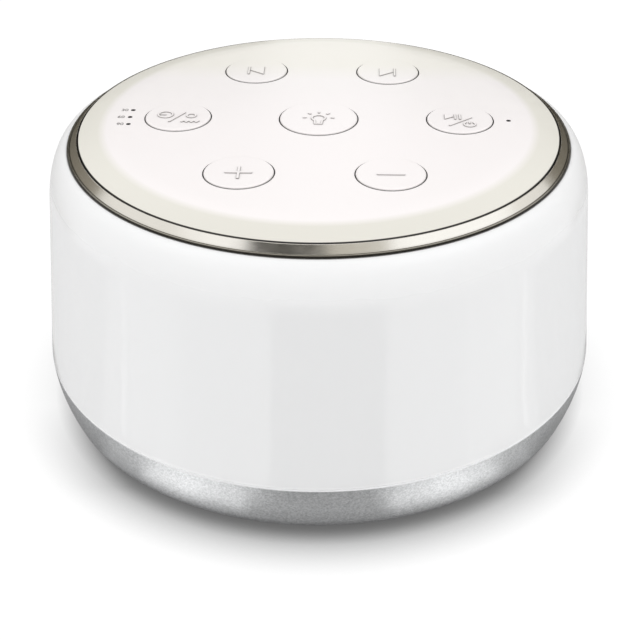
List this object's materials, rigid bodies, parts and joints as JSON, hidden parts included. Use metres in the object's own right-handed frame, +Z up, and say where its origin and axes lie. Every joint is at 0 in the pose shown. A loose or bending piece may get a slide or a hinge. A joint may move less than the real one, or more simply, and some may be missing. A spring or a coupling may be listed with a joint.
{
  "type": "white noise sound machine",
  "caption": "Round white noise machine: translucent night-light shell on a silver speaker base, with a slim trim ring and a top panel of round sprung push keys",
  "frame": {"origin": "on the floor under the centre of the round body, at the feet's undersides", "axes": "+Z up through the body's axis; -Y faces the viewer, with the timer key on -X and the play key on +X; the power inlet is on +Y"},
  "size_m": [0.104, 0.104, 0.055],
  "materials": {
    "silver_base": "satin silver lacquer with fine metallic flake",
    "grille_metal": "matt black paint",
    "foot_rubber": "matt",
    "screw_steel": "zinc plated",
    "light_shell": "translucent white, satin",
    "trim_metal": "champagne plated, polished",
    "panel_plastic": "warm white, fine satin",
    "key_plastic": "warm white, fine satin",
    "black_plastic": "matt",
    "circuit_board": "green solder mask",
    "white_board": "white solder mask",
    "lamp_plastic": "phosphor under clear resin",
    "clear_plastic": "clear",
    "white_plastic": "white reflector",
    "pressed_steel": "zinc plated",
    "black_foam": "foam",
    "ferrite": "sintered ferrite",
    "copper_coil": "enamelled wire",
    "black_paper": "coated pulp",
    "black_rubber": "satin",
    "spider_cloth": "resin-dipped cotton",
    "inlet_metal": "tin plated",
    "ribbon_film": "flat flexible film",
    "wire_jacket": "soft insulation"
  },
  "bodies": {
    "housing": {"base_housing": "silver_base", "speaker_grille": "grille_metal", "rubber_feet": "foot_rubber", "housing_screws": "screw_steel", "diffuser_shell": "light_shell", "trim_ring": "trim_metal", "top_panel": "panel_plastic", "panel_screws": "screw_steel", "switch_housings": "black_plastic", "control_board": "circuit_board", "control_board_parts": "black_plastic", "control_board_screws": "screw_steel", "indicator_lights": "lamp_plastic", "light_pipes": "clear_plastic", "reflector_core": "white_plastic", "lamp_board": "white_board", "lamps": "lamp_plastic", "lamp_board_screws": "screw_steel", "speaker_frame": "pressed_steel", "speaker_gasket": "black_foam", "speaker_screws": "screw_steel", "speaker_front_plate": "pressed_steel", "speaker_magnet": "ferrite", "speaker_yoke": "pressed_steel", "cone_surround": "black_rubber", "cone_spider": "spider_cloth", "main_board": "circuit_board", "main_board_parts": "black_plastic", "main_board_screws": "screw_steel", "power_inlet": "inlet_metal", "ribbon_cable": "ribbon_film", "speaker_leads": "wire_jacket", "lamp_leads": "wire_jacket"},
    "light_key": {"key_light": "key_plastic", "plunger_light": "black_plastic"},
    "play_key": {"key_play": "key_plastic", "plunger_play": "black_plastic"},
    "next_key": {"key_next": "key_plastic", "plunger_next": "black_plastic"},
    "previous_key": {"key_previous": "key_plastic", "plunger_previous": "black_plastic"},
    "timer_key": {"key_timer": "key_plastic", "plunger_timer": "black_plastic"},
    "volume_up_key": {"key_volume_up": "key_plastic", "plunger_volume_up": "black_plastic"},
    "volume_down_key": {"key_volume_down": "key_plastic", "plunger_volume_down": "black_plastic"},
    "cone": {"speaker_cone": "black_paper", "dust_cap": "black_paper", "voice_coil": "copper_coil"}
  },
  "joints": [
    {"name": "light_press", "type": "slide", "parent": "housing", "child": "light_key", "axis": [0, 0, -1], "range_m": [0, 0.0005], "stiffness_N_per_m": 2000},
    {"name": "play_press", "type": "slide", "parent": "housing", "child": "play_key", "axis": [0, 0, -1], "range_m": [0, 0.0005], "stiffness_N_per_m": 2000},
    {"name": "next_press", "type": "slide", "parent": "housing", "child": "next_key", "axis": [0, 0, -1], "range_m": [0, 0.0005], "stiffness_N_per_m": 2000},
    {"name": "previous_press", "type": "slide", "parent": "housing", "child": "previous_key", "axis": [0, 0, -1], "range_m": [0, 0.0005], "stiffness_N_per_m": 2000},
    {"name": "timer_press", "type": "slide", "parent": "housing", "child": "timer_key", "axis": [0, 0, -1], "range_m": [0, 0.0005], "stiffness_N_per_m": 2000},
    {"name": "volume_up_press", "type": "slide", "parent": "housing", "child": "volume_up_key", "axis": [0, 0, -1], "range_m": [0, 0.0005], "stiffness_N_per_m": 2000},
    {"name": "volume_down_press", "type": "slide", "parent": "housing", "child": "volume_down_key", "axis": [0, 0, -1], "range_m": [0, 0.0005], "stiffness_N_per_m": 2000},
    {"name": "cone_excursion", "type": "slide", "parent": "housing", "child": "cone", "axis": [0, 0, 1], "range_m": [-0.0006, 0.0006], "stiffness_N_per_m": 600, "deforming": ["cone_surround", "cone_spider"]}
  ]
}
